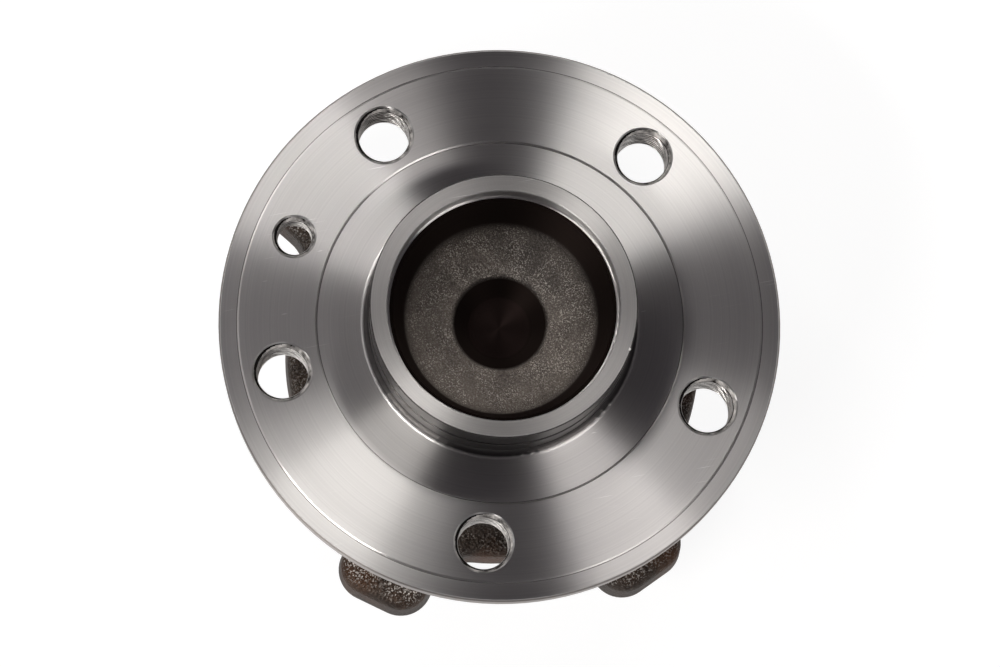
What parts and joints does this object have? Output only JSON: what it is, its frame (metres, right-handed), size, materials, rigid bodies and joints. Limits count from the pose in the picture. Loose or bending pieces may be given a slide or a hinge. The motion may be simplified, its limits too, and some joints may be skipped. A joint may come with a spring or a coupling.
{
  "type": "wheel hub bearing",
  "caption": "Flanged wheel hub bearing: turned wheel flange with threaded bolt holes and centring spigot, on ball rows in a forged outer ring with ears that bolt to the knuckle.",
  "frame": {"origin": "on the hub axis, in the plane of the face that the brake disc seats on", "axes": "+Z along the hub axis towards the wheel; +X along the line about which the outer ring's four ears are symmetric, towards the pair that is further apart"},
  "size_m": [0.136, 0.136, 0.0893],
  "materials": {
    "turned_hub_steel": "fine turned, oiled",
    "ground_ring_steel": "ground",
    "forged_ring_steel": "as forged and shot blasted, machined where it seats",
    "ball_steel": "lapped",
    "cage_plastic": "moulded glass-filled polyamide",
    "seal_case_steel": "pressed, bare",
    "seal_rubber": "moulded nitrile",
    "encoder_rubber": "ferrite-filled rubber",
    "cap_steel": "zinc plated, drawn"
  },
  "bodies": {
    "knuckle_side": {"outer_ring": "forged_ring_steel", "outboard_seal_case": "seal_case_steel", "outboard_seal_lips": "seal_rubber", "end_cap": "cap_steel"},
    "hub": {"hub_spindle": "turned_hub_steel", "inner_ring": "ground_ring_steel", "encoder_carrier": "seal_case_steel", "encoder_magnet": "encoder_rubber"},
    "outboard_cage": {"cage_outboard": "cage_plastic"},
    "inboard_cage": {"cage_inboard": "cage_plastic"},
    "outboard_ball_01": {"ball_outboard_01": "ball_steel"},
    "outboard_ball_02": {"ball_outboard_02": "ball_steel"},
    "outboard_ball_03": {"ball_outboard_03": "ball_steel"},
    "outboard_ball_04": {"ball_outboard_04": "ball_steel"},
    "outboard_ball_05": {"ball_outboard_05": "ball_steel"},
    "outboard_ball_06": {"ball_outboard_06": "ball_steel"},
    "outboard_ball_07": {"ball_outboard_07": "ball_steel"},
    "outboard_ball_08": {"ball_outboard_08": "ball_steel"},
    "outboard_ball_09": {"ball_outboard_09": "ball_steel"},
    "outboard_ball_10": {"ball_outboard_10": "ball_steel"},
    "outboard_ball_11": {"ball_outboard_11": "ball_steel"},
    "outboard_ball_12": {"ball_outboard_12": "ball_steel"},
    "outboard_ball_13": {"ball_outboard_13": "ball_steel"},
    "inboard_ball_01": {"ball_inboard_01": "ball_steel"},
    "inboard_ball_02": {"ball_inboard_02": "ball_steel"},
    "inboard_ball_03": {"ball_inboard_03": "ball_steel"},
    "inboard_ball_04": {"ball_inboard_04": "ball_steel"},
    "inboard_ball_05": {"ball_inboard_05": "ball_steel"},
    "inboard_ball_06": {"ball_inboard_06": "ball_steel"},
    "inboard_ball_07": {"ball_inboard_07": "ball_steel"},
    "inboard_ball_08": {"ball_inboard_08": "ball_steel"},
    "inboard_ball_09": {"ball_inboard_09": "ball_steel"},
    "inboard_ball_10": {"ball_inboard_10": "ball_steel"},
    "inboard_ball_11": {"ball_inboard_11": "ball_steel"},
    "inboard_ball_12": {"ball_inboard_12": "ball_steel"},
    "inboard_ball_13": {"ball_inboard_13": "ball_steel"}
  },
  "joints": [
    {"name": "hub_spin", "type": "hinge", "parent": "knuckle_side", "child": "hub", "pos_m": [0, 0, 0], "axis": [0, 0, 1], "continuous": true},
    {"name": "outboard_cage_spin", "type": "hinge", "parent": "knuckle_side", "child": "outboard_cage", "pos_m": [0, 0, -0.029], "axis": [0, 0, 1], "continuous": true},
    {"name": "outboard_ball_01_spin", "type": "hinge", "parent": "outboard_cage", "child": "outboard_ball_01", "pos_m": [0.031, 0, -0.029], "axis": [0.5878, 0, 0.809], "continuous": true},
    {"name": "outboard_ball_02_spin", "type": "hinge", "parent": "outboard_cage", "child": "outboard_ball_02", "pos_m": [0.02745, 0.01441, -0.029], "axis": [0.5205, 0.2732, 0.809], "continuous": true},
    {"name": "outboard_ball_03_spin", "type": "hinge", "parent": "outboard_cage", "child": "outboard_ball_03", "pos_m": [0.01761, 0.02551, -0.029], "axis": [0.3339, 0.4837, 0.809], "continuous": true},
    {"name": "outboard_ball_04_spin", "type": "hinge", "parent": "outboard_cage", "child": "outboard_ball_04", "pos_m": [0.00374, 0.03077, -0.029], "axis": [0.0708, 0.5835, 0.809], "continuous": true},
    {"name": "outboard_ball_05_spin", "type": "hinge", "parent": "outboard_cage", "child": "outboard_ball_05", "pos_m": [-0.01099, 0.02899, -0.029], "axis": [-0.2084, 0.5496, 0.809], "continuous": true},
    {"name": "outboard_ball_06_spin", "type": "hinge", "parent": "outboard_cage", "child": "outboard_ball_06", "pos_m": [-0.0232, 0.02056, -0.029], "axis": [-0.44, 0.3898, 0.809], "continuous": true},
    {"name": "outboard_ball_07_spin", "type": "hinge", "parent": "outboard_cage", "child": "outboard_ball_07", "pos_m": [-0.0301, 0.00742, -0.029], "axis": [-0.5707, 0.1407, 0.809], "continuous": true},
    {"name": "outboard_ball_08_spin", "type": "hinge", "parent": "outboard_cage", "child": "outboard_ball_08", "pos_m": [-0.0301, -0.00742, -0.029], "axis": [-0.5707, -0.1407, 0.809], "continuous": true},
    {"name": "outboard_ball_09_spin", "type": "hinge", "parent": "outboard_cage", "child": "outboard_ball_09", "pos_m": [-0.0232, -0.02056, -0.029], "axis": [-0.44, -0.3898, 0.809], "continuous": true},
    {"name": "outboard_ball_10_spin", "type": "hinge", "parent": "outboard_cage", "child": "outboard_ball_10", "pos_m": [-0.01099, -0.02899, -0.029], "axis": [-0.2084, -0.5496, 0.809], "continuous": true},
    {"name": "outboard_ball_11_spin", "type": "hinge", "parent": "outboard_cage", "child": "outboard_ball_11", "pos_m": [0.00374, -0.03077, -0.029], "axis": [0.0708, -0.5835, 0.809], "continuous": true},
    {"name": "outboard_ball_12_spin", "type": "hinge", "parent": "outboard_cage", "child": "outboard_ball_12", "pos_m": [0.01761, -0.02551, -0.029], "axis": [0.3339, -0.4837, 0.809], "continuous": true},
    {"name": "outboard_ball_13_spin", "type": "hinge", "parent": "outboard_cage", "child": "outboard_ball_13", "pos_m": [0.02745, -0.01441, -0.029], "axis": [0.5205, -0.2732, 0.809], "continuous": true},
    {"name": "inboard_cage_spin", "type": "hinge", "parent": "knuckle_side", "child": "inboard_cage", "pos_m": [0, 0, -0.052], "axis": [0, 0, 1], "continuous": true},
    {"name": "inboard_ball_01_spin", "type": "hinge", "parent": "inboard_cage", "child": "inboard_ball_01", "pos_m": [0.0301, 0.00742, -0.052], "axis": [-0.5707, -0.1407, 0.809], "continuous": true},
    {"name": "inboard_ball_02_spin", "type": "hinge", "parent": "inboard_cage", "child": "inboard_ball_02", "pos_m": [0.0232, 0.02056, -0.052], "axis": [-0.44, -0.3898, 0.809], "continuous": true},
    {"name": "inboard_ball_03_spin", "type": "hinge", "parent": "inboard_cage", "child": "inboard_ball_03", "pos_m": [0.01099, 0.02899, -0.052], "axis": [-0.2084, -0.5496, 0.809], "continuous": true},
    {"name": "inboard_ball_04_spin", "type": "hinge", "parent": "inboard_cage", "child": "inboard_ball_04", "pos_m": [-0.00374, 0.03077, -0.052], "axis": [0.0708, -0.5835, 0.809], "continuous": true},
    {"name": "inboard_ball_05_spin", "type": "hinge", "parent": "inboard_cage", "child": "inboard_ball_05", "pos_m": [-0.01761, 0.02551, -0.052], "axis": [0.3339, -0.4837, 0.809], "continuous": true},
    {"name": "inboard_ball_06_spin", "type": "hinge", "parent": "inboard_cage", "child": "inboard_ball_06", "pos_m": [-0.02745, 0.01441, -0.052], "axis": [0.5205, -0.2732, 0.809], "continuous": true},
    {"name": "inboard_ball_07_spin", "type": "hinge", "parent": "inboard_cage", "child": "inboard_ball_07", "pos_m": [-0.031, 0, -0.052], "axis": [0.5878, 0, 0.809], "continuous": true},
    {"name": "inboard_ball_08_spin", "type": "hinge", "parent": "inboard_cage", "child": "inboard_ball_08", "pos_m": [-0.02745, -0.01441, -0.052], "axis": [0.5205, 0.2732, 0.809], "continuous": true},
    {"name": "inboard_ball_09_spin", "type": "hinge", "parent": "inboard_cage", "child": "inboard_ball_09", "pos_m": [-0.01761, -0.02551, -0.052], "axis": [0.3339, 0.4837, 0.809], "continuous": true},
    {"name": "inboard_ball_10_spin", "type": "hinge", "parent": "inboard_cage", "child": "inboard_ball_10", "pos_m": [-0.00374, -0.03077, -0.052], "axis": [0.0708, 0.5835, 0.809], "continuous": true},
    {"name": "inboard_ball_11_spin", "type": "hinge", "parent": "inboard_cage", "child": "inboard_ball_11", "pos_m": [0.01099, -0.02899, -0.052], "axis": [-0.2084, 0.5496, 0.809], "continuous": true},
    {"name": "inboard_ball_12_spin", "type": "hinge", "parent": "inboard_cage", "child": "inboard_ball_12", "pos_m": [0.0232, -0.02056, -0.052], "axis": [-0.44, 0.3898, 0.809], "continuous": true},
    {"name": "inboard_ball_13_spin", "type": "hinge", "parent": "inboard_cage", "child": "inboard_ball_13", "pos_m": [0.0301, -0.00742, -0.052], "axis": [-0.5707, 0.1407, 0.809], "continuous": true}
  ],
  "couplings": [
    {"joint": "outboard_cage_spin", "follows": "hub_spin", "ratio": 0.41714},
    {"joint": "outboard_ball_01_spin", "follows": "hub_spin", "ratio": -2.3739},
    {"joint": "outboard_ball_02_spin", "follows": "hub_spin", "ratio": -2.3739},
    {"joint": "outboard_ball_03_spin", "follows": "hub_spin", "ratio": -2.3739},
    {"joint": "outboard_ball_04_spin", "follows": "hub_spin", "ratio": -2.3739},
    {"joint": "outboard_ball_05_spin", "follows": "hub_spin", "ratio": -2.3739},
    {"joint": "outboard_ball_06_spin", "follows": "hub_spin", "ratio": -2.3739},
    {"joint": "outboard_ball_07_spin", "follows": "hub_spin", "ratio": -2.3739},
    {"joint": "outboard_ball_08_spin", "follows": "hub_spin", "ratio": -2.3739},
    {"joint": "outboard_ball_09_spin", "follows": "hub_spin", "ratio": -2.3739},
    {"joint": "outboard_ball_10_spin", "follows": "hub_spin", "ratio": -2.3739},
    {"joint": "outboard_ball_11_spin", "follows": "hub_spin", "ratio": -2.3739},
    {"joint": "outboard_ball_12_spin", "follows": "hub_spin", "ratio": -2.3739},
    {"joint": "outboard_ball_13_spin", "follows": "hub_spin", "ratio": -2.3739},
    {"joint": "inboard_cage_spin", "follows": "hub_spin", "ratio": 0.41714},
    {"joint": "inboard_ball_01_spin", "follows": "hub_spin", "ratio": -2.3739},
    {"joint": "inboard_ball_02_spin", "follows": "hub_spin", "ratio": -2.3739},
    {"joint": "inboard_ball_03_spin", "follows": "hub_spin", "ratio": -2.3739},
    {"joint": "inboard_ball_04_spin", "follows": "hub_spin", "ratio": -2.3739},
    {"joint": "inboard_ball_05_spin", "follows": "hub_spin", "ratio": -2.3739},
    {"joint": "inboard_ball_06_spin", "follows": "hub_spin", "ratio": -2.3739},
    {"joint": "inboard_ball_07_spin", "follows": "hub_spin", "ratio": -2.3739},
    {"joint": "inboard_ball_08_spin", "follows": "hub_spin", "ratio": -2.3739},
    {"joint": "inboard_ball_09_spin", "follows": "hub_spin", "ratio": -2.3739},
    {"joint": "inboard_ball_10_spin", "follows": "hub_spin", "ratio": -2.3739},
    {"joint": "inboard_ball_11_spin", "follows": "hub_spin", "ratio": -2.3739},
    {"joint": "inboard_ball_12_spin", "follows": "hub_spin", "ratio": -2.3739},
    {"joint": "inboard_ball_13_spin", "follows": "hub_spin", "ratio": -2.3739}
  ]
}
